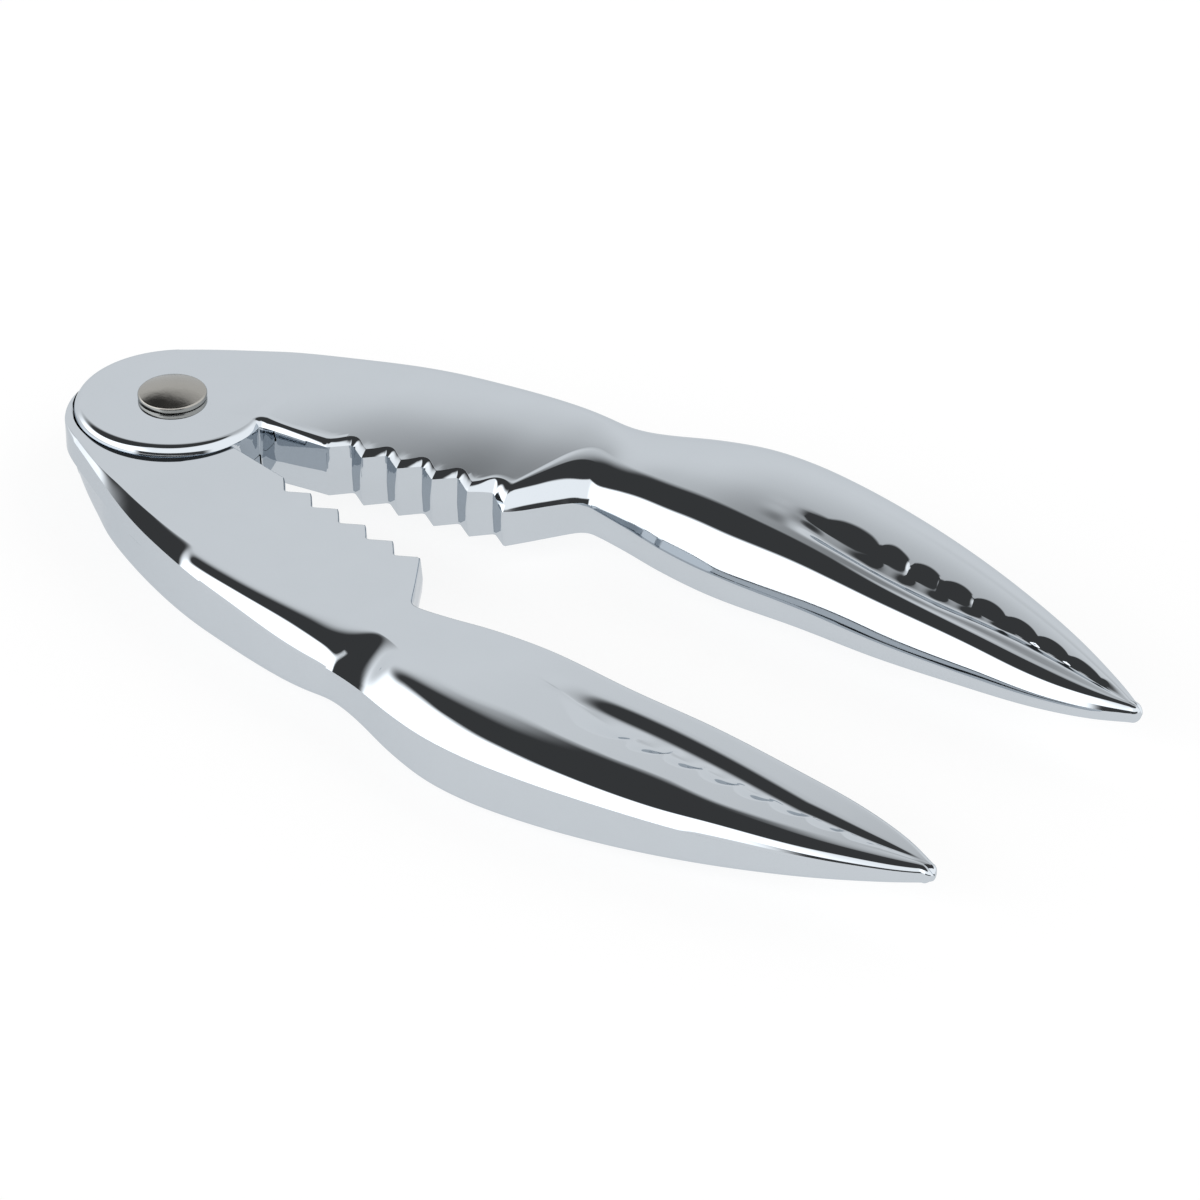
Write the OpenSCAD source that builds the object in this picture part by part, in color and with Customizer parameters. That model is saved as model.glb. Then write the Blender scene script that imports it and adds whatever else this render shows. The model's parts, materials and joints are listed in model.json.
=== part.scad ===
// Hinged shell and nut cracker in the form of two claws.
// Two copies of one die-cast arm, the lower one turned over, turn on one rivet.
// Frame: the pivot axis is Z, +X runs along the centre line to the tips, and
// Z = 0 is the flat end of the rivet's tail, level with the lower handle's belly.

/* [Opening] */
// Angle between the two arms as the tool lies at rest
opening = 17.4; // [2:1:60]

/* [Hub] */
// Radius of the hub
hub_r = 15.8; // [14:0.1:17]
// Radius of the hub's flat outer face
hub_face_r = 15.2; // [13:0.1:15.5]
// Thickness of one hub
hub_t = 6.3; // [5:0.1:8]
// Gap between a hub and the pocket that it turns in
pocket_gap = 0.3; // [0.2:0.05:0.6]
// Gap between the two mating faces
face_gap = 0.1; // [0.05:0.05:0.3]

/* [Rivet] */
// Radius of the rivet's shank
shank_r = 3; // [2:0.1:4]
// Radial clearance of the shank in the bores
shank_gap = 0.05; // [0.02:0.01:0.1]
// Radius of the domed head
head_r = 5.5; // [4.5:0.1:7]
// Height of the head's straight rim
head_rim = 1; // [0.5:0.1:1.5]
// Rise of the dome over the rim
head_dome = 1.1; // [0.5:0.1:2]
// Radius of the clinched tail
tail_r = 4.6; // [4:0.1:5]
// Height of the clinched tail
tail_t = 1.9; // [1:0.1:2]
// Radius of the washer under the tail
washer_r = 6; // [5.5:0.1:8]
// Thickness of that washer
washer_t = 1; // [0.5:0.1:1.5]

/* [Jaw] */
// Distance from the pivot axis to the first tooth tip
first_tip = 28; // [26:0.5:30]
// Pitch of the teeth
tooth_pitch = 6.4; // [5.5:0.1:6.5]
// Depth of the notches between the teeth
tooth_depth = 2.6; // [1.5:0.1:3]
// Number of notches in one jaw
tooth_count = 5; // [3:1:5]
// Height of the tooth tips over the arm's centre line
tip_line = 0.4; // [0.2:0.1:1]

/* [Hidden] */
$fn = 96;

// Plan of the arm, [x, y]: knots of the smooth edge curves at the parting line
arm_start = -15;
arm_end = 169.3;
outer_edge = [[arm_start, 6], [-13.8, 9], [-11.5, 12], [-8.5, 14.4], [-5, 16.4], [2, 19], [10, 22.2],
    [18, 24.6], [26, 26.3], [36, 27.6], [46, 28], [56, 28.1], [64, 27.9], [69, 27.6], [76, 27.9],
    [84, 29], [92, 29.5], [100, 28.9], [108, 27.4], [118, 24.8], [133, 20], [145, 15.2],
    [155, 10.4], [164.5, 4.5], [arm_end, 0.8]];
// Outer edge of the half that carries the outer face, which keeps to the hub's
// circle beside the pivot and joins the other edge at hub_side
hub_side = 18;
crown_edge = [[arm_start, 4.9], [-13.8, 7.7], [-11.5, 10.8], [-8.5, 13.3], [-5, 15.1], [2, 18.6],
    [10, 22.2], [hub_side, 24.6], [26, 26.3]];
neck_corner = [69, 10.4];
inner_edge = [neck_corner, [76, 9], [84, 6.8], [95, 4.4], [110, 2.6], [125, 0.5], [140, -0.9],
    [152, -1.8], [162, -1.6], [arm_end, -0.8]];

// Heights over the parting plane, [x, height]: outer face's crown, its edge
// over the teeth, and the face on the mating side. The knots before hub_flat keep
// the outer face level over the hub.
hub_flat = 8;
crown_height = [[arm_start, hub_t], [hub_flat - 1, hub_t], [hub_flat, hub_t], [20, 6.7],
    [32, 7.5], [50, 8], [62, 7.7], [69, 7], [80, 8.2], [95, 9.2], [120, 8], [140, 6], [155, 4],
    [165, 2.4], [arm_end, 1]];
rim_height = [[arm_start, hub_t], [hub_flat - 1, hub_t], [hub_flat, hub_t], [16, 6], [28, 5.6],
    [45, 5.4], [56, 5.4], [64, 6.2], [69, 6.8], [80, 8], [95, 8.9], [120, 7.4], [140, 5.5],
    [155, 3.6], [165, 2.2], [arm_end, 1]];
mating_height = [[arm_start, 4.8], [12, 4.7], [28, 4.3], [60, 4.2], [69, 4.1], [95, 4.8],
    [120, 4.4], [140, 3.4], [155, 2.4], [165, 1.5], [arm_end, 0.8]];

// Widths of the rounded shoulders, [x, width]
outer_shoulder = [[arm_start, 1.4], [-5, 1.2], [8, 1], [24, 1.4], [40, 1.8], [60, 2.2], [69, 3],
    [80, 2.4], [95, 2.4], [120, 1.8], [140, 1.8], [155, 1.8], [165, 1.2], [arm_end, 0.8]];
inner_shoulder = [[arm_start, 1.2], [56, 1.2], [61, 5], [66, 8], [70, 7], [76, 6], [88, 8], [97, 8],
    [117, 6.5], [136, 4.8], [154, 2.5], [165, 1.4], [arm_end, 0.8]];
mating_outer_shoulder = [[arm_start, 0.5], [8, 0.5], [20, 1.8], [30, 2.8], [45, 3.4], [60, 4.4],
    [71, 6.5], [80, 6], [95, 7], [120, 7], [140, 6.2], [155, 4.6], [165, 2.4], [arm_end, 0.8]];
mating_inner_shoulder = [[arm_start, 0.5], [60, 0.6], [70, 1], [95, 1.8], [150, 1.6], [165, 1.2],
    [arm_end, 0.8]];

// Relief of the handle, [x, value]: crest of the inner finger, foot of the valley
// beside it and depth of the valley
relief_start = 84;
finger_crest = [[98, 10.6], [104, 9.8], [112, 8.1], [122, 6.3], [132, 4.9], [142, 3.9], [152, 2.6],
    [161, 1], [168, -0.2]];
valley_foot = [[98, 11.4], [105, 11.3], [119, 11.1], [125, 9.8], [132, 8.3], [138, 7.2], [144, 6],
    [150, 4.7], [156, 3.4], [161.5, 2], [168, 0.4]];
valley_depth = [[98, 0], [104, 0], [112, 0.9], [120, 1.1], [140, 1], [152, 0.8], [162, 0.4],
    [167, 0]];
// The outer finger's crest stands back from the valley in scallops
scallop_from = 120;
scallop_pitch = 6;
scallop_count = 7;
scallop_step = 0.7;
scallop_size = [[104, 1.4], [112, 2.6], [118, 2.2], [scallop_from, 1.5], [140, 1.3], [156, 1],
    [166, 0.5]];

pocket_r = hub_r + pocket_gap;
jaw_end = first_tip + tooth_count * tooth_pitch;
bore_r = shank_r + shank_gap;
stack_z = tail_t + washer_t + hub_t;
eps = 0.01;

// Smooth interpolation through knots [x, y] with rising x
function knot(p, x, i = 0) = i >= len(p) - 2 || x < p[i + 1][0] ? i : knot(p, x, i + 1);
function slope(p, i) =
    let(a = max(i - 1, 0), b = min(i + 1, len(p) - 1)) (p[b][1] - p[a][1]) / (p[b][0] - p[a][0]);
function smooth(p, x) =
    let(i = knot(p, x), h = p[i + 1][0] - p[i][0], t = min(max((x - p[i][0]) / h, 0), 1),
        s = t * t * (3 - 2 * t))
    (1 - s) * p[i][1] + s * p[i + 1][1]
        + h * t * (1 - t) * ((1 - t) * slope(p, i) - t * slope(p, i + 1));

// Inner edge at the parting line: plain jaw, row of V notches, end wall, handle
function tooth_wave(x) =
    let(u = (x - first_tip) / tooth_pitch) 1 - abs(2 * (u - floor(u)) - 1);
function inner_y(x) =
    x <= first_tip ? tip_line
    : x <= jaw_end ? tip_line + tooth_depth * tooth_wave(x)
    : x <= neck_corner[0]
        ? tip_line + (neck_corner[1] - tip_line) * (x - jaw_end) / (neck_corner[0] - jaw_end)
        : smooth(inner_edge, x);

function crown_y(x) = smooth(x < hub_side ? crown_edge : outer_edge, x);

// Width of the scalloped step between the valley and the outer finger
function scallop(x) =
    let(u = (x - scallop_from) / scallop_pitch)
    scallop_step + smooth(scallop_size, x) * (x < scallop_from ? 1 : sin(180 * (u - floor(u))));

// Lines along one face, [y, height]: the inner finger's crest, both sides of the
// valley and the outer finger's crest, all level before the relief starts
plain_lines = [0.2, 0.4, 0.55, 0.65];
least_lines = [0.1, 0.22, 0.34, 0.46];
most_lines = [0.5, 0.64, 0.78, 0.9];
// Width of the inner finger's slope, and the least it keeps from the valley's foot
slope_width = 2.3;
slope_gap = 0.3;
function face_lines(x, y_in, y_out, rim, crown, depth) =
    let(foot = smooth(valley_foot, x), crest = smooth(finger_crest, x),
        marks = [crest, min(crest + slope_width, foot - slope_gap), foot, foot + scallop(x)],
        share = min(max((x - relief_start) / (finger_crest[0][0] - relief_start), 0), 1))
    [for (k = [0:len(marks) - 1])
        let(t = min(max((marks[k] - y_in) / (y_out - y_in), least_lines[k]), most_lines[k]),
            u = plain_lines[k] * (1 - share) + t * share,
            sunk = k == 1 || k == 2 ? depth : 0)
        [x, y_in + (y_out - y_in) * u, rim + (crown - rim) * sin(90 * u) - sunk]];

// One cross-section, as a closed ring of points round the arm
shoulder_steps = 3;
function quarter(k) = 90 * k / shoulder_steps;
// Largest part of the section that its two shoulders may take
shoulder_share = 0.8;
function narrow(x, wa, wb) =
    min(1, shoulder_share * (crown_y(x) - inner_y(x)) / (wa + wb));
// Quarter ellipse from the parting plane to the face, going into the metal by side
function shoulder(x, y, width, side, height, steps) =
    [for (k = steps) [x, y + side * width * (1 - cos(quarter(k))), height * sin(quarter(k))]];
function section(x) =
    let(yi = inner_y(x), yo = smooth(outer_edge, x), rim = smooth(rim_height, x),
        crown = smooth(crown_height, x), low = smooth(mating_height, x),
        depth = smooth(valley_depth, x), n = shoulder_steps,
        wi = smooth(inner_shoulder, x), wo = smooth(outer_shoulder, x),
        vi = smooth(mating_inner_shoulder, x), vo = smooth(mating_outer_shoulder, x),
        yc = crown_y(x), ka = narrow(x, wi, wo), kb = narrow(x, vi, vo),
        top = face_lines(x, yi + ka * wi, yc - ka * wo, rim, crown, depth),
        bottom = face_lines(x, yi + kb * vi, yo - kb * vo, -low, -low, -depth))
    concat(
        shoulder(x, yi, ka * wi, 1, rim, [0:n]),
        top,
        shoulder(x, yc, ka * wo, -1, crown, [n:-1:0]),
        [[x, yo, -face_gap]],
        shoulder(x, yo, kb * vo, -1, -low, [1:n]),
        [for (k = [len(bottom) - 1:-1:0]) bottom[k]],
        shoulder(x, yi, kb * vi, 1, -low, [n:-1:1]));

// Places of the cross-sections: round the hub, the teeth, the neck, the handle,
// two to a scallop, and closer together where the tip is rounded
hub_stations = [arm_start, -13.5, -11.5, -9, -6, -2];
jaw_start = 4;
jaw_step = 6;
neck_stations = [63, 66, neck_corner[0], 72.5];
handle_start = 77;
handle_step = 5.5;
scallop_end = scallop_from + scallop_count * scallop_pitch;
tip_steps = 3;
stations = concat(
    hub_stations,
    [for (x = [jaw_start:jaw_step:first_tip - 4]) x],
    [for (k = [0:2 * tooth_count]) first_tip + k * tooth_pitch / 2],
    neck_stations,
    [for (x = [handle_start:handle_step:scallop_from - 2]) x],
    [for (k = [0:2 * scallop_count - 1]) scallop_from + k * scallop_pitch / 2],
    [for (k = [0:tip_steps])
        scallop_end + (arm_end - scallop_end) * sin(90 * k / tip_steps)]);

// Solid skinned over the rings, with flat ends
module arm_form() {
    rings = [for (x = stations) section(x)];
    n = len(rings[0]);
    last = len(rings) - 1;
    polyhedron(
        points = [for (r = rings) each r],
        faces = concat(
            [[for (j = [n - 1:-1:0]) j]],
            [for (i = [0:last - 1], j = [0:n - 1])
                let(k = (j + 1) % n) each [[i * n + j, (i + 1) * n + k, (i + 1) * n + j],
                    [i * n + j, i * n + k, (i + 1) * n + k]]],
            [[for (j = [0:n - 1]) last * n + j]]));
}

// Round hub with a rounded edge, its mating face at Z = 0
module hub() {
    edge_r = hub_r - hub_face_r;
    edge_segments = 32;
    rotate_extrude()
        union() {
            square([hub_r, hub_t - edge_r]);
            translate([0, hub_t - edge_r - eps]) square([hub_face_r, edge_r + eps]);
            translate([hub_face_r, hub_t - edge_r]) circle(edge_r, $fn = edge_segments);
        }
}

// The casting, lying on its own axes: outer face up, tip on +X
module casting() {
    difference() {
        union() {
            arm_form();
            hub();
        }
        translate([0, 0, -hub_t]) cylinder(r = pocket_r, h = hub_t + face_gap / 2);
        translate([0, 0, -hub_t]) cylinder(r = bore_r, h = 3 * hub_t);
    }
}

module upper_arm() {
    color([0.8, 0.82, 0.84])
        translate([0, 0, stack_z]) rotate([0, 0, opening / 2]) casting();
}

module lower_arm() {
    color([0.74, 0.76, 0.79])
        translate([0, 0, stack_z]) rotate([0, 0, -opening / 2]) rotate([180, 0, 0]) casting();
}

// Domed head, shank and clinched tail in one piece
module pivot_rivet() {
    dome_r = (head_r * head_r + head_dome * head_dome) / (2 * head_dome);
    head_z = stack_z + hub_t;
    color([0.62, 0.6, 0.56])
        union() {
            cylinder(r = tail_r, h = tail_t);
            cylinder(r = shank_r, h = head_z + head_rim);
            translate([0, 0, head_z]) cylinder(r = head_r, h = head_rim);
            translate([0, 0, head_z + head_rim])
                intersection() {
                    translate([0, 0, head_dome - dome_r]) sphere(dome_r);
                    translate([0, 0, -eps]) cylinder(r = head_r, h = 2 * head_dome);
                }
        }
}

module rivet_washer() {
    color([0.7, 0.7, 0.68])
        translate([0, 0, tail_t])
            difference() {
                cylinder(r = washer_r, h = washer_t);
                translate([0, 0, -1]) cylinder(r = bore_r, h = washer_t + 2);
            }
}

upper_arm();
lower_arm();
pivot_rivet();
rivet_washer();
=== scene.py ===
"""Claw-shaped nutcracker: two plated castings on one rivet, on a white studio floor."""

import json
import math

import bmesh
import bpy
import numpy as np
from mathutils import Matrix, Vector


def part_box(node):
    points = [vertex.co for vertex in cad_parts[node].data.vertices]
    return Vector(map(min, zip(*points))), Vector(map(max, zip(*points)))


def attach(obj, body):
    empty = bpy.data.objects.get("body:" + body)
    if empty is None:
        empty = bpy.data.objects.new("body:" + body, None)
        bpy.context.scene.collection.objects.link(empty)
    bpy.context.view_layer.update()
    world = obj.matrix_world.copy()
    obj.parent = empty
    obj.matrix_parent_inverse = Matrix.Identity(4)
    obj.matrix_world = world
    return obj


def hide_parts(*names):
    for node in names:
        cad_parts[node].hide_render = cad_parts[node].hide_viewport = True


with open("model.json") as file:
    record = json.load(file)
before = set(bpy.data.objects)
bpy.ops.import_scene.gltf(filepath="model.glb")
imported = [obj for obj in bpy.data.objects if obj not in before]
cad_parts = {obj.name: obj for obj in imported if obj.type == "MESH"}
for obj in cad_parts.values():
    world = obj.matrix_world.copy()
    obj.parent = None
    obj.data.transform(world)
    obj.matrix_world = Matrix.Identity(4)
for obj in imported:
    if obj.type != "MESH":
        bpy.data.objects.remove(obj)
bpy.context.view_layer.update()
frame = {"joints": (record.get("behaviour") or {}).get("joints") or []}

MM = 0.001

# ---------------------------------------------------------------- driving sizes, in millimetres
rivet_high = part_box("pivot_rivet")[1]
washer_low, washer_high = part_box("rivet_washer")
pivot = Vector(frame["joints"][0]["pos_m"]) / MM
stack_z = pivot.z                     # height of the parting plane, where the hubs meet
opening = math.radians(17.4)          # angle between the arms at rest

hub_r = 15.8                          # at the mating face
hub_t = 6.3
pocket_r = 15.95
face_gap = 0.05
bore_r = 3.05
cutter_low, cutter_high = -12, 20     # ends of the pocket's and the bore's cutters
tip_x = 169.6
tip_cap = 1.3                         # length of the rounded point
tip_cap_steps = 8

tooth_pitch = 6.4
first_tip = 28.0
tooth_count = 5
tooth_depth = 2.6
tip_line = 0.4                        # height of the tooth tips over the arm's centre line
tip_round = 0.12                      # rounding of the tips and roots, as shares of the depth
root_round = 0.06
end_wall_inset = 0.15
jaw_end = first_tip + tooth_count * tooth_pitch
neck = (69.0, 10.4)                   # inward corner between the end wall and the handle
neck_round = 3.2
wall_draft = math.tan(math.radians(4))

# ---------------------------------------------------------------- smooth curves along the arm
GRID_STEP = 0.1
GRID = np.arange(-30.0, 190.0, GRID_STEP)


def smoothstep(t):
    return t * t * (3 - 2 * t)


def curve(knots, blur):
    """Smooth function of x through [x, value] knots, rounded over blur millimetres."""
    k = np.array(knots, float)
    x, y = k[:, 0], k[:, 1]
    slope = np.empty(len(x))
    slope[1:-1] = (y[2:] - y[:-2]) / (x[2:] - x[:-2])
    slope[0] = (y[1] - y[0]) / (x[1] - x[0])
    slope[-1] = (y[-1] - y[-2]) / (x[-1] - x[-2])
    i = np.clip(np.searchsorted(x, GRID) - 1, 0, len(x) - 2)
    h = x[i + 1] - x[i]
    t = (GRID - x[i]) / h
    inside = np.clip(t, 0, 1)
    s = smoothstep(inside)
    values = (1 - s) * y[i] + s * y[i + 1]
    values += h * inside * (1 - inside) * ((1 - inside) * slope[i] - inside * slope[i + 1])
    values += np.where(t < 0, t, 0) * h * slope[0] + np.where(t > 1, t - 1, 0) * h * slope[-1]
    if blur:
        reach = int(30 * blur)        # in grid steps, three times the blur
        kernel = np.exp(-0.5 * (np.arange(-reach, reach + 1) * GRID_STEP / blur) ** 2)
        kernel /= kernel.sum()
        before = values[0] + (values[0] - values[1]) * np.arange(reach, 0, -1)
        after = values[-1] + (values[-1] - values[-2]) * np.arange(1, reach + 1)
        values = np.convolve(np.concatenate([before, values, after]), kernel, "valid")
    return lambda q: np.interp(q, GRID, values)


# outer edge in plan: one line for each half, the same from the jaw on
SHARED_EDGE = [[18, 24.6], [26, 26.3], [36, 27.6], [46, 28], [56, 28.1], [64, 27.9], [69, 27.6],
               [76, 27.9], [84, 29], [92, 29.5], [100, 28.9], [108, 27.4], [118, 24.8],
               [133, 20], [145, 15.2], [155, 10.4], [164.5, 4.5], [169.6, 0.6]]
wrap_edge = curve([[-15.6, 2.6], [-15.4, 4.2], [-14.3, 8.0], [-11.8, 12.0], [-8.7, 15.0],
                   [-5, 17.0], [2, 19.5], [10, 22.2]] + SHARED_EDGE, 1.0)
crown_edge = curve([[-8.5, 13.3], [-2, 16.6], [4, 19.4], [10, 22.1]] + SHARED_EDGE, 1.0)
handle_edge = curve([[62, 11.2], [69, 10.4], [76, 9], [84, 6.8], [95, 4.4], [110, 2.6], [125, 0.1],
                     [140, -1.5], [152, -2.5], [162, -2.2], [169.6, -0.6]], 1.0)

# heights over the parting plane
crown_height = curve([[-16, 6.3], [8, 6.3], [20, 6.7], [32, 7.5], [50, 8], [62, 7.7], [69, 7],
                      [80, 8.2], [95, 9.2], [120, 8], [140, 6], [155, 4], [165, 2.4], [170, 1.4]], 3)
rim_height = curve([[-16, 6.3], [8, 6.3], [16, 6.0], [28, 5.6], [45, 5.4], [56, 5.2], [64, 6.0],
                    [69, 6.4], [80, 7.0], [95, 7.6], [120, 6.2], [140, 4.6], [155, 3.1], [165, 2.1],
                    [170, 1.3]], 2)
mating_height = curve([[-16, 4.8], [12, 4.7], [28, 4.3], [60, 4.2], [69, 4.1], [84, 5.1], [95, 5.2],
                       [120, 4.4], [140, 3.4], [155, 2.4], [165, 1.5], [170, 1]], 3)
# height, on the inner side, of the line where the two faces' walls meet
parting = curve([[-16, 0], [72, 0], [80, -0.5], [88, -1.1], [97, -1.2], [140, -1.2], [160, -0.6],
                 [170, 0]], 1)

# Rounded shoulders: width, height at which the wall ends and slope there in degrees; hug is how
# closely the round keeps to its corner, and lip how much of the rise is left past the corner.
crown_inner_shoulder = dict(
    width=curve([[-16, 1.6], [11, 1.6], [15.8, 1.6], [18, 1.0], [28, 1.1], [52, 1.2], [58, 1.8],
                 [61, 4], [66, 8.2], [70, 6.8], [76, 5.8], [88, 6.4], [97, 6.4], [117, 5.0],
                 [136, 3.9], [154, 3], [165, 1.6], [170, 0.8]], 1.2),
    start=curve([[-16, 4.2], [11, 4.2], [15.8, 4.8], [28, 4.7], [50, 4.4], [56, 3.8], [61, 2],
                 [67, 1.6], [72, 0.6], [80, -0.3], [88, -0.9], [97, -0.9], [140, -0.9],
                 [160, -0.3], [170, 0.2]], 0.8),
    tilt=curve([[-16, 84], [11, 82], [15.8, 65], [20, 62], [28, 55], [31, 45], [52, 45], [58, 60],
                [61, 74], [68, 74], [74, 71], [80, 70], [130, 70], [160, 74], [170, 80]], 1.5),
    hug=curve([[-16, 1], [60, 1], [76, 1.3], [120, 1.3], [150, 1.2], [170, 1]], 1),
    lip=curve([[-16, 0], [64, 0], [74, 0.8], [80, 1.0], [95, 1.2], [120, 0.9], [150, 0.4],
               [165, 0], [170, 0]], 1))
crown_outer_shoulder = dict(
    width=curve([[-16, 1.6], [-12, 1.6], [-4, 1.0], [8, 1.0], [20, 2.2], [40, 3], [60, 3.2],
                 [69, 4.2], [80, 4.6], [95, 5], [120, 4.5], [140, 3.8], [155, 3], [165, 1.8],
                 [170, 0.8]], 2),
    start=curve([[-16, 4.2], [-12, 4.2], [-4, 4.8], [8, 4.8], [20, 4.9], [32, 5.4], [50, 5.6],
                 [62, 5.3], [69, 4.4], [80, 6.0], [95, 7.0], [120, 6.2], [140, 4.0], [155, 1.9],
                 [165, 0.8], [170, 0.4]], 2),
    tilt=curve([[-16, 84], [170, 86]], 0),
    hug=curve([[-16, 1], [170, 1]], 0),
    lip=curve([[-16, 0], [170, 0]], 0))
mating_inner_shoulder = dict(
    width=curve([[-16, 0.5], [60, 0.5], [70, 0.8], [95, 1.1], [150, 1.0], [165, 0.9],
                 [170, 0.8]], 1),
    start=curve([[-16, 3.6], [62, 3.6], [70, 2.8], [95, 2.4], [120, 2.2], [150, 1.5],
                 [170, 0.4]], 1),
    tilt=curve([[-16, 84], [170, 84]], 0),
    hug=curve([[-16, 1], [170, 1]], 0),
    lip=curve([[-16, 0], [170, 0]], 0))
mating_outer_shoulder = dict(
    width=curve([[-16, 0.5], [2, 0.5], [8, 1.0], [12, 1.6], [20, 2.4], [30, 3.2], [40, 4.2],
                 [50, 4.6], [60, 5.6], [66, 7.0], [71, 8], [76, 7.5], [84, 7.0], [95, 6.8],
                 [104, 7.6], [113, 7.0], [122, 6.2], [131, 5.8], [140, 4.2], [155, 3.4],
                 [165, 2.5], [170, 0.8]], 1.2),
    start=curve([[-16, 4.3], [0, 4.2], [8, 3.9], [14, 3.55], [20, 3.2], [34, 2.5], [46, 1.5],
                 [60, 0.2], [75, 0], [170, 0]], 1),
    tilt=curve([[-16, 84], [-6, 84], [0, 36], [33, 36], [36, 58], [62, 62], [69, 60], [71.5, 34],
                [76, 36], [79, 52], [84, 54], [95, 54], [104, 55], [113, 58], [122, 64],
                [131, 69], [140, 74], [150, 77], [170, 82]], 0.6),
    hug=curve([[-16, 1], [32, 1], [36, 2], [66, 2], [71, 1], [75, 1], [80, 3.0], [104, 3.0],
               [113, 2.4], [122, 2.2], [131, 2.0], [140, 1.6], [170, 1]], 1),
    lip=curve([[-16, 0], [68, 0], [74, 0.5], [84, 0.3], [100, 0.4], [113, 0.9], [122, 1.3],
               [131, 1.2], [140, 0.8], [150, 0.5], [165, 0], [170, 0]], 1))

# the casting's two faces: the outer one rises from its rim to a crown, the mating one is level
OUTER_FACE = dict(side=1, edge="crown_edge", rim=rim_height, crown=crown_height,
                  inner=crown_inner_shoulder, outer=crown_outer_shoulder, relief=1.0)
MATING_FACE = dict(side=-1, edge="wrap_edge", rim=mating_height, crown=mating_height,
                   inner=mating_inner_shoulder, outer=mating_outer_shoulder, relief=0.65)

# line, in plan, from which the outer face rises to its crown
crown_line = curve([[-16, 0], [10, 0], [28, 3.0], [58, 3.6], [63, 9], [69, 16], [76, 14], [84, 12],
                    [95, 10], [110, 8], [125, 5], [140, 3], [152, 1], [162, 0], [170, 0]], 2)

# relief of the handle: two fingers with a valley between them, scalloped on the outer finger
relief_from = 84.0
relief_full = 100.0
scallop_pitch = 6.05
long_scallop_from = 104.0             # one long scallop, then short ones from scallop_from on
scallop_from = 120.0
scallop_step = 0.75                   # least width of the step behind the valley
scallop_size = [[104, 1.4], [112, 2.9], [118, 2.9], [124, 1.7], [140, 1.5], [156, 1.2], [166, 0.6]]
scallop_lip = 0.4                     # height of the step between scallops, as a share
finger_slope = 2.3                    # width of the inner finger's slope
finger_gap = 0.25                     # least distance from that slope to the valley's foot
finger_edge = curve([[98, 10.6], [104, 9.8], [112, 8.1], [122, 6.3], [132, 4.9], [142, 3.9],
                     [152, 2.6], [161, 1.0], [168, -0.2]], 2)
valley_foot = curve([[98, 11.6], [105, 11.6], [119, 11.7], [125, 10.4], [132, 8.9], [138, 7.8],
                     [144, 6.6], [150, 5.2], [156, 3.8], [161.5, 2.3], [168, 0.4]], 1)
relief_depth = curve([[98, 0], [104, 0], [112, 1.0], [120, 1.15], [140, 1.05], [152, 0.8],
                      [162, 0.45], [167, 0], [175, 0]], 1)


def scallop(x):
    """Width of the step between the valley's foot and the outer finger, and its arc's height."""
    if x < scallop_from:
        along = np.clip((x - long_scallop_from) / (scallop_from - long_scallop_from), 0, 1)
        arc = np.sin(np.pi * along ** 1.15) ** 0.6
    else:
        u = (x - scallop_from) / scallop_pitch
        arc = np.clip(1 - (2 * (u - np.floor(u)) - 1) ** 2, 0, 1) ** 0.7
    return scallop_step + float(np.interp(x, *zip(*scallop_size)) * arc), float(arc)


def jaw_edge(x):
    """Toothed inner edge: plain wall, row of notches, end wall, then the handle."""
    u = (x - first_tip) / tooth_pitch
    wave = 1 - np.abs(2 * (u - np.floor(u)) - 1)
    past = wave - (1 - root_round)
    wave = np.where(wave < tip_round, wave * wave / (2 * tip_round) + tip_round / 2, wave)
    wave = np.where(past > 0, 1 - root_round + past * (1 - past / (2 * root_round)), wave)
    wave = np.where((x < first_tip) | (x > jaw_end), tip_round / 2, wave)
    foot = tip_line + end_wall_inset
    run = np.clip((x - jaw_end) / (neck[0] - jaw_end), 0, 1)
    edge = np.where(x <= jaw_end, tip_line + tooth_depth * wave, foot + (neck[1] - foot) * run)
    return np.where(x > neck[0], handle_edge(x), edge)


# the inner edge at a fine pitch, with the corner at the neck rounded
FINE = np.arange(10.0, 175.0, 0.04)
SHARP_EDGE = jaw_edge(FINE)
window = np.hanning(121)
window /= window.sum()
rounded = np.convolve(np.pad(SHARP_EDGE, len(window) // 2, "edge"), window, "valid")
near_neck = np.clip(1 - np.abs(FINE - neck[0]) / neck_round, 0, 1)
FINE_EDGE = SHARP_EDGE + (rounded - SHARP_EDGE) * near_neck ** 0.5


def dilated(x, reach):
    """Inner edge moved into the metal by reach, with round arcs about its inward corners."""
    straight = float(np.interp(x, FINE, FINE_EDGE)) + reach
    first, last = np.searchsorted(FINE, [x - reach, x + reach])
    if last - first < 2:
        return straight
    lift = np.sqrt(np.maximum(reach ** 2 - (FINE[first:last] - x) ** 2, 0))
    return max(float((FINE_EDGE[first:last] + lift).max()), straight)


# ---------------------------------------------------------------- the casting's skin
# steps up a wall, over a shoulder, and across a face: inner finger, its slope, valley,
# scalloped step and outer finger
WALL, SHOULDER = 4, 16
PLATEAU = (5, 9, 5, 6, 12)
# where those parts of a face end, as shares of its width: without relief, least and most
PLAIN_MARKS = np.array([0.2, 0.4, 0.55, 0.65])
LEAST_MARKS = np.array([0.10, 0.24, 0.36, 0.46])
MOST_MARKS = np.array([0.50, 0.66, 0.78, 0.90])
# limits that keep a section sound: both shoulders' share of it, a shoulder's corner as shares
# of its rise and width, and the inner finger's slope as a share of the face
SHOULDER_SHARE = 0.8
LEAST_KNEE = 0.4
MOST_BEND = 0.92
LEAST_SLOPE = 0.2
LEAST_SPAN = 0.05


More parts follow.
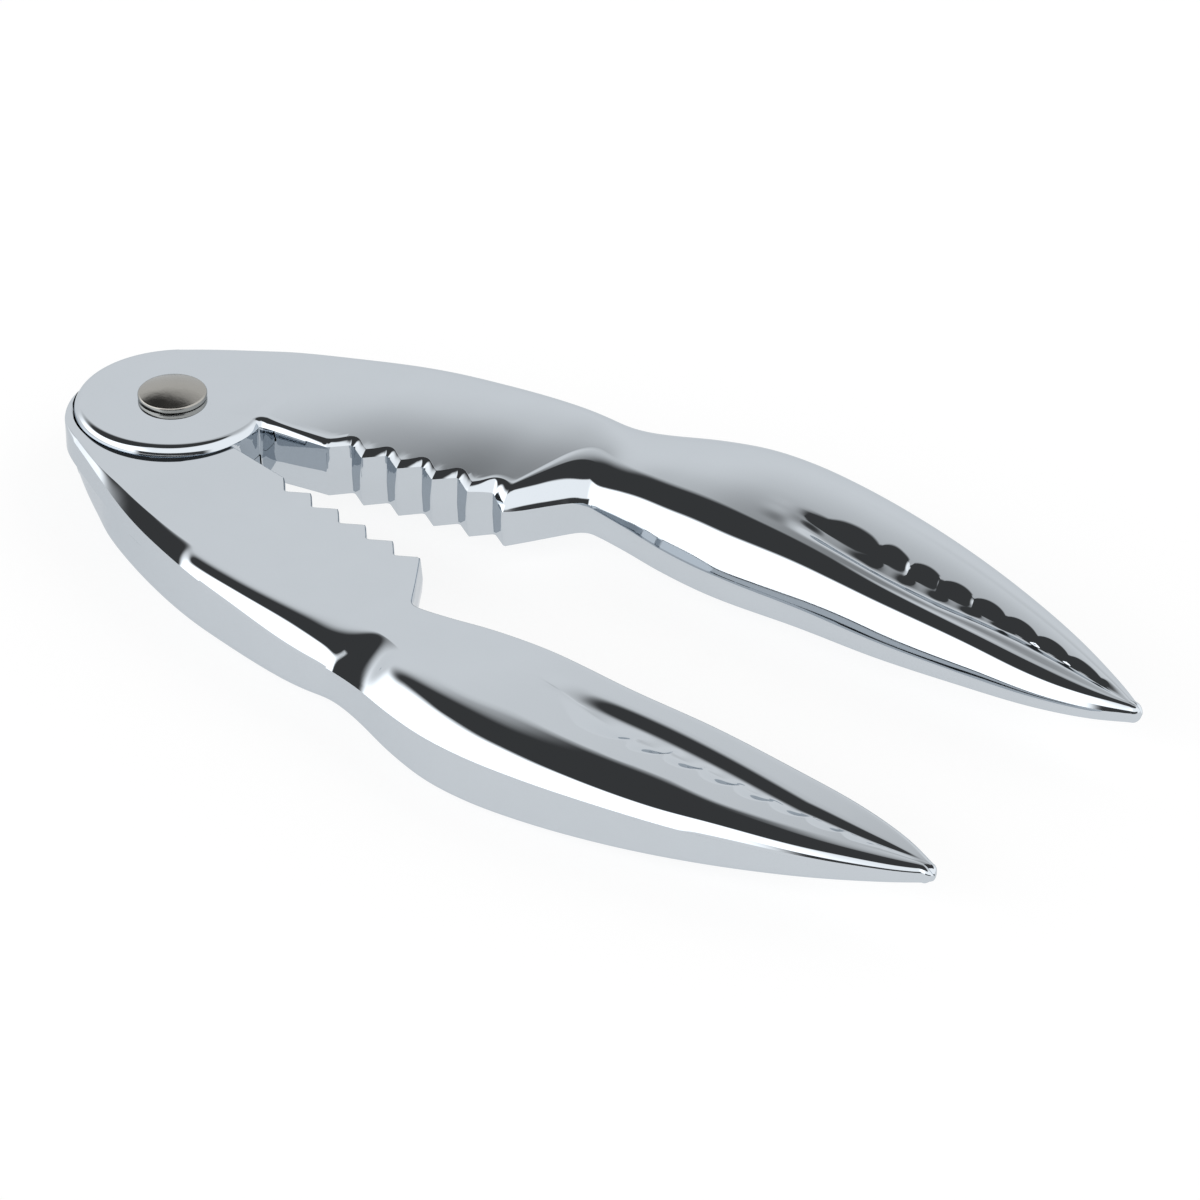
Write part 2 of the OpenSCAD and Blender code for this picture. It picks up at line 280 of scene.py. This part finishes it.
def shoulder_profile(shoulder, x, width, height):
    """Offsets and heights of a rounded shoulder from the top of the wall to the flat."""
    start, tilt, hug, lip = [float(shoulder[key](x)) for key in ("start", "tilt", "hug", "lip")]
    drop = max(height - start, LEAST_SPAN)
    knee = max(drop - lip, LEAST_KNEE * drop)
    bend = min(knee / math.tan(math.radians(tilt)), MOST_BEND * width)
    s = np.linspace(0, 1, SHOULDER + 1)
    s = smoothstep(s) * 0.5 + s * 0.5
    corner = 2 * hug * s * (1 - s)
    total = (1 - s) ** 2 + corner + s ** 2
    return (corner * bend + s ** 2 * width) / total, start + (corner * knee + s ** 2 * drop) / total


def lines_across(x, y_low, y_high):
    """Fractions from the inner to the outer edge of the flat, and the relief's share of depth."""
    span = max(y_high - y_low, LEAST_SPAN)
    crest = (float(finger_edge(x)) - y_low) / span
    foot = (float(valley_foot(x)) - y_low) / span
    slope_end = min(crest + finger_slope / span, foot - finger_gap / span)
    crest = min(crest, slope_end - LEAST_SLOPE)
    step, arc = scallop(x)
    marks = np.clip([crest, slope_end, foot, foot + step / span], LEAST_MARKS, MOST_MARKS)
    use = smoothstep(min(max((x - relief_from) / (relief_full - relief_from), 0.0), 1.0))
    ends = np.concatenate([[0], PLAIN_MARKS + (marks - PLAIN_MARKS) * use, [1]])
    top = scallop_lip + (1 - scallop_lip) * arc
    t, share = [0.0], [0.0]
    for part, count in enumerate(PLATEAU):
        for k in range(1, count + 1):
            u = k / count
            rise = smoothstep(u)
            fall = 1 - (0.75 * u + 0.25 * rise)
            t.append(ends[part] + (ends[part + 1] - ends[part]) * u)
            share.append([0.0, rise, 1 + (top - 1) * rise, top * fall, 0.0][part])
    return t, share


def half_ring(station, face):
    """Points of one face of the section, from the inner parting line to the outer one."""
    x = station["x"]
    p_in, n_in = station["inner"]
    p_out, n_out = station[face["edge"]]
    x_out = float(p_out[0])
    rim, crown = float(face["rim"](x)), float(face["crown"](x_out))
    wide_in = float(face["inner"]["width"](x))
    wide_out = float(face["outer"]["width"](x_out))
    room = SHOULDER_SHARE * np.linalg.norm(p_out - p_in)
    if station["envelope"] and wide_in + wide_out > room:
        squeeze = room / (wide_in + wide_out)
        wide_in, wide_out = wide_in * squeeze, wide_out * squeeze

    def inward(off, z):
        reach = off + wall_draft * abs(z) * station["draft"]
        if station["envelope"]:
            return np.array([x, dilated(x, reach)])
        return p_in + n_in * reach

    crown_from = float(crown_line(x))
    crown_to = max(float((p_out + n_out * wide_out)[1]), crown_from + 1.0)

    def face_height(y):
        u = min(max((y - crown_from) / (crown_to - crown_from), 0.0), 1.0)
        return rim + (crown - rim) * math.sin(math.pi / 2 * u)

    inner_top = face_height(float(inward(wide_in, rim)[1]))
    off_in, z_in = shoulder_profile(face["inner"], x, wide_in, inner_top)
    off_out, z_out = shoulder_profile(face["outer"], x_out, wide_out, crown)
    z_part = face["side"] * float(parting(x)) if station["envelope"] else 0.0

    points = []
    for k in range(WALL):
        z = z_part + (z_in[0] - z_part) * k / WALL
        points.append((*inward(0.0, z), z))
    for off, z in zip(off_in, z_in):
        points.append((*inward(off, z), z))
    flat_in = np.array(points[-1][:2])
    flat_out = p_out + n_out * off_out[-1]
    t, share = lines_across(x, flat_in[1], flat_out[1])
    depth = float(relief_depth(x)) * face["relief"]
    for along, sunk in zip(t[1:-1], share[1:-1]):
        p = flat_in + (flat_out - flat_in) * along
        points.append((*p, face_height(float(p[1])) - depth * sunk))
    for off, z in zip(off_out[::-1], z_out[::-1]):
        points.append((*(p_out + n_out * off), z))
    for k in range(WALL - 1, -1, -1):
        points.append((*p_out, z_out[0] * k / WALL))
    ring = np.array(points)
    ring[:, 2] *= face["side"]
    return ring


def unit(v):
    return v / np.linalg.norm(v)


def edge_point(x, edge):
    """Point and inward normal of an outer edge."""
    reach = 0.2
    slope = float(edge(x + reach) - edge(x - reach)) / (2 * reach)
    return np.array([x, float(edge(x))]), unit(np.array([slope, -1.0]))


def stations():
    """Every section of the arm, from the hub's far side to the tip."""
    out = []

    def add(x, inner, crown, wrap, envelope, draft):
        out.append(dict(x=x, inner=inner, crown_edge=crown, wrap_edge=wrap, envelope=envelope,
                        draft=draft))

    # round the hub: the inner line follows the front of the circle, and the two outer lines
    # leave the circle at crown_leaves and wrap_leaves
    around, sweep = 120, math.radians(177.5)
    crown_leaves, wrap_leaves, hub_side = -7.6, -15.55, 12.0
    for k in range(around + 1):
        phi = sweep * k / around
        p_in = hub_r * np.array([-math.cos(phi), -math.sin(phi)])
        x_out = -hub_r + (p_in[0] + hub_r) * (hub_side + hub_r) / (2 * hub_r)
        if x_out < crown_leaves:
            p_out = np.array([x_out, math.sqrt(max(hub_r ** 2 - x_out ** 2, 0))])
            crown = (p_out, -unit(p_out))
        else:
            crown = edge_point(x_out, crown_edge)
        wrap = crown if x_out < wrap_leaves else edge_point(x_out, wrap_edge)
        add(float(p_in[0]), (p_in, -unit(p_in)), crown, wrap, False, 0.0)

    # turn the notch beside the hub, where every section starts from one point
    notch = np.array([15.75, tip_line])
    turn, turn_steps, turn_run = 87.5, 12, 3.5
    for k in range(1, turn_steps + 1):
        a = math.radians(90 + turn * (1 - k / turn_steps))
        x_out = hub_side + turn_run * k / turn_steps
        add(hub_r, (notch, np.array([math.cos(a), math.sin(a)])), edge_point(x_out, crown_edge),
            edge_point(x_out, wrap_edge), False, k / turn_steps)

    # plain jaw, teeth, end wall, neck and handle
    xs = np.concatenate([np.linspace(16.3, first_tip - 0.6, 24),
                         np.linspace(first_tip, jaw_end, tooth_count * 20 + 1),
                         np.linspace(jaw_end + 0.35, 72, 34),
                         np.linspace(72.6, 100, 50),
                         np.linspace(100.45, tip_x - tip_cap, 152)])
    for x in xs:
        inner = np.array([x, float(np.interp(x, FINE, FINE_EDGE))])
        add(x, (inner, np.array([0, 1.0])), edge_point(x, crown_edge), edge_point(x, wrap_edge),
            True, float(np.interp(x, [60, 75], [1, 0])))
    return out


def casting_skin():
    """Vertices (rings x points x 3) of the whole arm before its pocket and bore are cut."""
    rings = [np.concatenate([half_ring(s, OUTER_FACE), half_ring(s, MATING_FACE)[::-1][:-1]])
             for s in stations()]
    # rounded point: the last section shrinks on a quarter circle
    last = rings[-1]
    centre = np.array([tip_x - tip_cap, (last[:, 1].min() + last[:, 1].max()) / 2, 0.1])
    for k in range(1, tip_cap_steps + 1):
        a = math.pi / 2 * k / tip_cap_steps
        ring = centre + (last - centre) * math.cos(a)
        ring[:, 0] = last[:, 0] + tip_cap * math.sin(a) - (last[:, 0] - centre[0]) * (1 - math.cos(a))
        rings.append(ring)
    return np.array(rings)


def add_object(name, data):
    obj = bpy.data.objects.new(name, data)
    bpy.context.scene.collection.objects.link(obj)
    return obj


def object_from(bm, name):
    """Puts a finished bmesh into the scene as an object, and frees it."""
    mesh = bpy.data.meshes.new(name)
    bm.to_mesh(mesh)
    bm.free()
    return add_object(name, mesh)


def cylinder(radius, z_low, z_high, segments=256):
    """A plain cutter about the pivot."""
    bm = bmesh.new()
    bmesh.ops.create_cone(bm, cap_ends=True, segments=segments, radius1=radius, radius2=radius,
                          depth=z_high - z_low)
    bmesh.ops.translate(bm, verts=bm.verts, vec=(0, 0, (z_low + z_high) / 2))
    return object_from(bm, "cutter")


def cut(obj, cutter):
    """Takes the cutter out of obj for good."""
    modifier = obj.modifiers.new("cut", "BOOLEAN")
    modifier.operation = "DIFFERENCE"
    modifier.solver = "EXACT"
    modifier.object = cutter
    graph = bpy.context.evaluated_depsgraph_get()
    result = bpy.data.meshes.new_from_object(obj.evaluated_get(graph))
    obj.modifiers.clear()
    old = obj.data
    obj.data = result
    bpy.data.meshes.remove(old)
    bpy.data.objects.remove(cutter)


def casting_object():
    """One casting on its own axes, in millimetres: outer face up, tip on +X, parting at Z = 0."""
    rings = casting_skin()
    count, around = rings.shape[:2]
    faces = []
    for i in range(count - 1):
        for j in range(around):
            k = (j + 1) % around
            faces.append((i * around + j, (i + 1) * around + j, (i + 1) * around + k, i * around + k))
    skin = bpy.data.meshes.new("skin")
    skin.from_pydata([tuple(v) for v in rings.reshape(-1, 3)], [], faces)
    skin.validate()
    bm = bmesh.new()
    bm.from_mesh(skin)
    bpy.data.meshes.remove(skin)
    bmesh.ops.remove_doubles(bm, verts=bm.verts, dist=0.004)
    bmesh.ops.recalc_face_normals(bm, faces=bm.faces)
    obj = object_from(bm, "casting")
    cut(obj, cylinder(pocket_r, cutter_low, face_gap))
    cut(obj, cylinder(bore_r, cutter_low, cutter_high, 96))
    return obj


def finish_shading(obj, degrees=30):
    obj.data.polygons.foreach_set("use_smooth", [True] * len(obj.data.polygons))
    obj.data.set_sharp_from_angle(angle=math.radians(degrees))


# ---------------------------------------------------------------- materials
def metal(name, colour, roughness, spread, grain, grain_scale, tint=0.03):
    """Metal with mottled roughness, a faint uneven tint and fine surface waviness."""
    mat = bpy.data.materials.new(name)
    mat.use_nodes = True
    nodes, links = mat.node_tree.nodes, mat.node_tree.links
    shader = nodes["Principled BSDF"]
    shader.inputs["Metallic"].default_value = 1.0
    shader.inputs["Specular Tint"].default_value = (0.78, 0.8, 0.82, 1)
    where = nodes.new("ShaderNodeTexCoord")

    def noise(scale, detail):
        node = nodes.new("ShaderNodeTexNoise")
        node.inputs["Scale"].default_value = scale
        node.inputs["Detail"].default_value = detail
        links.new(where.outputs["Object"], node.inputs["Vector"])
        return node.outputs["Fac"]

    mottle = noise(160.0, 4.0)
    rough = nodes.new("ShaderNodeMapRange")
    rough.inputs["From Min"].default_value = 0.3
    rough.inputs["From Max"].default_value = 0.7
    rough.inputs["To Min"].default_value = roughness
    rough.inputs["To Max"].default_value = roughness + spread
    links.new(mottle, rough.inputs["Value"])
    links.new(rough.outputs["Result"], shader.inputs["Roughness"])
    shade = nodes.new("ShaderNodeMix")
    shade.data_type = "RGBA"
    shade.inputs["A"].default_value = (*colour, 1)
    shade.inputs["B"].default_value = (*[c * (1 - tint) for c in colour], 1)
    links.new(mottle, shade.inputs["Factor"])
    links.new(shade.outputs["Result"], shader.inputs["Base Color"])
    bump = nodes.new("ShaderNodeBump")
    bump.inputs["Strength"].default_value = grain
    bump.inputs["Distance"].default_value = 0.0002
    links.new(noise(grain_scale, 3.0), bump.inputs["Height"])
    links.new(bump.outputs["Normal"], shader.inputs["Normal"])
    return mat


chrome = metal("bright_chrome", (0.56, 0.60, 0.64), 0.015, 0.03, 0.02, 90.0)
satin = metal("satin_steel", (0.38, 0.37, 0.345), 0.13, 0.12, 0.12, 900.0, 0.1)
washer_steel = metal("turned_steel", (0.50, 0.50, 0.48), 0.28, 0.12, 0.15, 700.0, 0.1)

# ---------------------------------------------------------------- the two arms
casting = casting_object()
scaled = Matrix.Scale(MM, 4)
lift = Matrix.Translation(Vector((0, 0, stack_z)))
turned_over = Matrix.Rotation(math.pi, 4, "X")
for piece, node, body, turn in (
        ("upper_casting", "upper_arm", "upper_half", Matrix.Rotation(opening / 2, 4, "Z")),
        ("lower_casting", "lower_arm", "lower_half",
         Matrix.Rotation(-opening / 2, 4, "Z") @ turned_over)):
    mesh = casting.data.copy()
    mesh.transform(scaled @ lift @ turn)
    mesh.name = piece
    arm = add_object(piece, mesh)
    mesh.materials.clear()
    mesh.materials.append(chrome)
    finish_shading(arm)
    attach(arm, body)
    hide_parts(node)
bpy.data.objects.remove(casting)


# ---------------------------------------------------------------- rivet and washer
def lathe(name, profile, material, segments=128):
    """Solid of revolution about the pivot from [radius, z] points, in millimetres."""
    bm = bmesh.new()
    points = [bm.verts.new((r * MM, 0, z * MM)) for r, z in profile]
    edges = [bm.edges.new(pair) for pair in zip(points, points[1:])]
    bmesh.ops.spin(bm, geom=points + edges, axis=(0, 0, 1), cent=(0, 0, 0), steps=segments,
                   angle=2 * math.pi)
    bmesh.ops.remove_doubles(bm, verts=bm.verts, dist=1e-7)
    bmesh.ops.recalc_face_normals(bm, faces=bm.faces)
    obj = object_from(bm, name)
    obj.data.materials.append(material)
    finish_shading(obj, 40)
    return obj


head_r = rivet_high.x / MM
head_top = rivet_high.z / MM
head_seat = stack_z + hub_t + 0.02    # just clear of the hub
shank_r = 3.0
tail_r = 4.6
tail_t = washer_low.z / MM
dome_rise = 1.1
dome_angle = 0.42                     # of the dome's arc at the rim, in radians
dome_start = 0.39                     # where the rim's rounding hands over to the dome
rim_z = head_top - dome_rise
sag = 1 - math.cos(dome_angle)
dome = [(head_r * math.sin(a) / math.sin(dome_angle),
         rim_z + dome_rise * (math.cos(a) - math.cos(dome_angle)) / sag)
        for a in np.linspace(dome_start, 0, 14)]
head = [(shank_r, head_seat), (head_r - 0.35, head_seat), (head_r - 0.08, head_seat + 0.1),
        (head_r, head_seat + 0.33), (head_r, rim_z - 0.18), (head_r - 0.06, rim_z - 0.04),
        (head_r - 0.2, rim_z + 0.1)]
tail = [(0, 0), (tail_r - 0.5, 0), (tail_r - 0.15, 0.12), (tail_r, 0.45), (tail_r, tail_t - 0.1),
        (tail_r - 0.1, tail_t), (shank_r, tail_t)]
rivet = lathe("domed_rivet", tail + head + dome, satin)
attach(rivet, "lower_half")
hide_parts("pivot_rivet")

washer_r = washer_high.x / MM
low, high = washer_low.z / MM, washer_high.z / MM
edge = 0.15
ring = lathe("tail_washer", [(bore_r, low + edge), (bore_r + edge, low), (washer_r - edge, low),
                             (washer_r, low + edge), (washer_r, high - edge), (washer_r - edge, high),
                             (bore_r + edge, high), (bore_r, high - edge), (bore_r, low + edge)],
             washer_steel)
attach(ring, "lower_half")
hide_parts("rivet_washer")

# ---------------------------------------------------------------- camera
view_azimuth = math.radians(38.805)
view_elevation = math.radians(32.527)
view_roll = math.radians(-0.661)
view_distance = 1.0
target = Vector((0.084433, 0.002142, stack_z * MM))
back = Vector((math.sin(view_azimuth) * math.cos(view_elevation),
               -math.cos(view_azimuth) * math.cos(view_elevation), math.sin(view_elevation)))
right = Vector((math.cos(view_azimuth), math.sin(view_azimuth), 0))
up = back.cross(right)
axis_x = math.cos(view_roll) * right + math.sin(view_roll) * up
axis_y = -math.sin(view_roll) * right + math.cos(view_roll) * up
camera_data = bpy.data.cameras.new("camera")
camera_data.lens = 197.5
camera_data.sensor_width = 36.0
camera_data.clip_end = 20
camera = add_object("camera", camera_data)
facing = Matrix((axis_x, axis_y, back)).transposed().to_4x4()
camera.matrix_world = Matrix.Translation(target + back * view_distance) @ facing
bpy.context.scene.camera = camera

# ---------------------------------------------------------------- studio
# Directions are components of a unit vector as the camera faces: across to the right, away and
# up; near is the opposite of away. A pair is where a soft edge begins and ends.
ceiling_lean = (-0.45, 0.15, 0.88)    # middle of the dark patch that leans away to the left
lean_reach = 0.82                     # cosine from the lean to the patch's edge
overhead_reach = 0.86                 # up, at the overhead patch's edge
ceiling_edge = 0.025                  # half width of the patches' soft edges
ceiling_blur = 0.12                   # further softness towards the far side
ceiling_level = 0.06
gap_side = (0.54, 0.70)               # dark gap low down behind the camera: its edges across,
gap_near = (0.3, 0.5)                 # near, at the top and at the foot
gap_top = (0.22, 0.26)
gap_foot = (-0.05, -0.02)
wall_level = 1.0
softbox_level = 1.4
left_softbox = 2.1
left_from = (0.3, 0.6)                # to the left
softbox_near = (-0.75, -0.3)          # near, where the plain far wall gives way to the softboxes
far_dimming = 0.5                     # of the far wall, above dim_up and beyond dim_near
dim_up = (0.53, 0.9)
dim_near = (-0.35, 0.1)
horizon = (-0.02, 0.02)
floor_glow = 0.83
floor_radius = 3.0
floor_z = -0.0002
bpy.context.scene.view_settings.view_transform = "Standard"


def white_floor():
    bm = bmesh.new()
    bmesh.ops.create_circle(bm, cap_ends=True, segments=96, radius=floor_radius)
    floor = object_from(bm, "floor")
    floor.location = (target.x, target.y, floor_z)
    mat = bpy.data.materials.new("paper")
    mat.use_nodes = True
    nodes, links = mat.node_tree.nodes, mat.node_tree.links
    nodes.clear()
    glow = nodes.new("ShaderNodeEmission")
    glow.inputs["Color"].default_value = (1, 1, 1, 1)
    glow.inputs["Strength"].default_value = floor_glow
    paper = nodes.new("ShaderNodeBsdfDiffuse")
    paper.inputs["Color"].default_value = (0.22, 0.22, 0.22, 1)
    both = nodes.new("ShaderNodeAddShader")
    end = nodes.new("ShaderNodeOutputMaterial")
    links.new(glow.outputs[0], both.inputs[0])
    links.new(paper.outputs[0], both.inputs[1])
    links.new(both.outputs[0], end.inputs["Surface"])
    floor.data.materials.append(mat)


def studio_world():
    """Bright walls and softboxes round the table, a pale far side, and a dark ceiling."""
    world = bpy.data.worlds.new("studio")
    bpy.context.scene.world = world
    world.use_nodes = True
    nodes, links = world.node_tree.nodes, world.node_tree.links

    def feed(value, socket):
        if isinstance(value, (int, float)):
            socket.default_value = value
        else:
            links.new(value, socket)

    def combine(operation, first, second=0.0):
        node = nodes.new("ShaderNodeMath")
        node.operation = operation
        feed(first, node.inputs[0])
        feed(second, node.inputs[1])
        return node.outputs[0]

    def add(first, second):
        return combine("ADD", first, second)

    def subtract(first, second):
        return combine("SUBTRACT", first, second)

    def multiply(first, second):
        return combine("MULTIPLY", first, second)

    def ramp(value, low, high):
        """0 below low, 1 above high and smooth between."""
        node = nodes.new("ShaderNodeMapRange")
        node.interpolation_type = "SMOOTHSTEP"
        feed(low, node.inputs["From Min"])
        feed(high, node.inputs["From Max"])
        feed(value, node.inputs["Value"])
        return node.outputs["Result"]

    where = nodes.new("ShaderNodeTexCoord")
    turn = nodes.new("ShaderNodeVectorRotate")
    turn.rotation_type = "Z_AXIS"
    turn.inputs["Angle"].default_value = -view_azimuth
    links.new(where.outputs["Generated"], turn.inputs["Vector"])
    parts = nodes.new("ShaderNodeSeparateXYZ")
    links.new(turn.outputs["Vector"], parts.inputs["Vector"])
    across, away, height = parts.outputs["X"], parts.outputs["Y"], parts.outputs["Z"]
    near = multiply(away, -1.0)

    # dark ceiling: one patch overhead, one leaning away to the left with a soft far edge
    lean = nodes.new("ShaderNodeVectorMath")
    lean.operation = "DOT_PRODUCT"
    lean.inputs[1].default_value = ceiling_lean
    links.new(turn.outputs["Vector"], lean.inputs[0])
    soft = add(ceiling_edge, multiply(combine("MAXIMUM", away, 0.0), ceiling_blur))
    leaning = ramp(lean.outputs["Value"], subtract(lean_reach, soft), add(lean_reach, soft))
    overhead = ramp(height, overhead_reach - ceiling_edge, overhead_reach + ceiling_edge)
    ceiling = combine("MAXIMUM", leaning, overhead)

    # dark gap low down behind the camera
    gap = subtract(1.0, ramp(combine("ABSOLUTE", across), *gap_side))
    gap = multiply(gap, ramp(near, *gap_near))
    gap = multiply(gap, subtract(1.0, ramp(height, *gap_top)))
    gap = multiply(gap, ramp(height, *gap_foot))
    dark = combine("MAXIMUM", ceiling, gap)

    # softboxes on the near side, the left one brighter, and plain walls on the far side
    left = ramp(multiply(across, -1.0), *left_from)
    softbox = add(softbox_level, multiply(left, left_softbox - softbox_level))
    far = subtract(1.0, ramp(near, *softbox_near))
    level = subtract(softbox, multiply(far, subtract(softbox, wall_level)))
    dim = multiply(ramp(height, *dim_up), subtract(1.0, ramp(near, *dim_near)))
    level = multiply(level, subtract(1.0, multiply(dim, far_dimming)))
    above = ramp(height, *horizon)
    level = add(wall_level, multiply(above, subtract(level, wall_level)))

    total = add(multiply(level, subtract(1.0, dark)), multiply(dark, ceiling_level))
    background = nodes["Background"]
    background.inputs["Color"].default_value = (1, 1, 1, 1)
    links.new(total, background.inputs["Strength"])


white_floor()
studio_world()
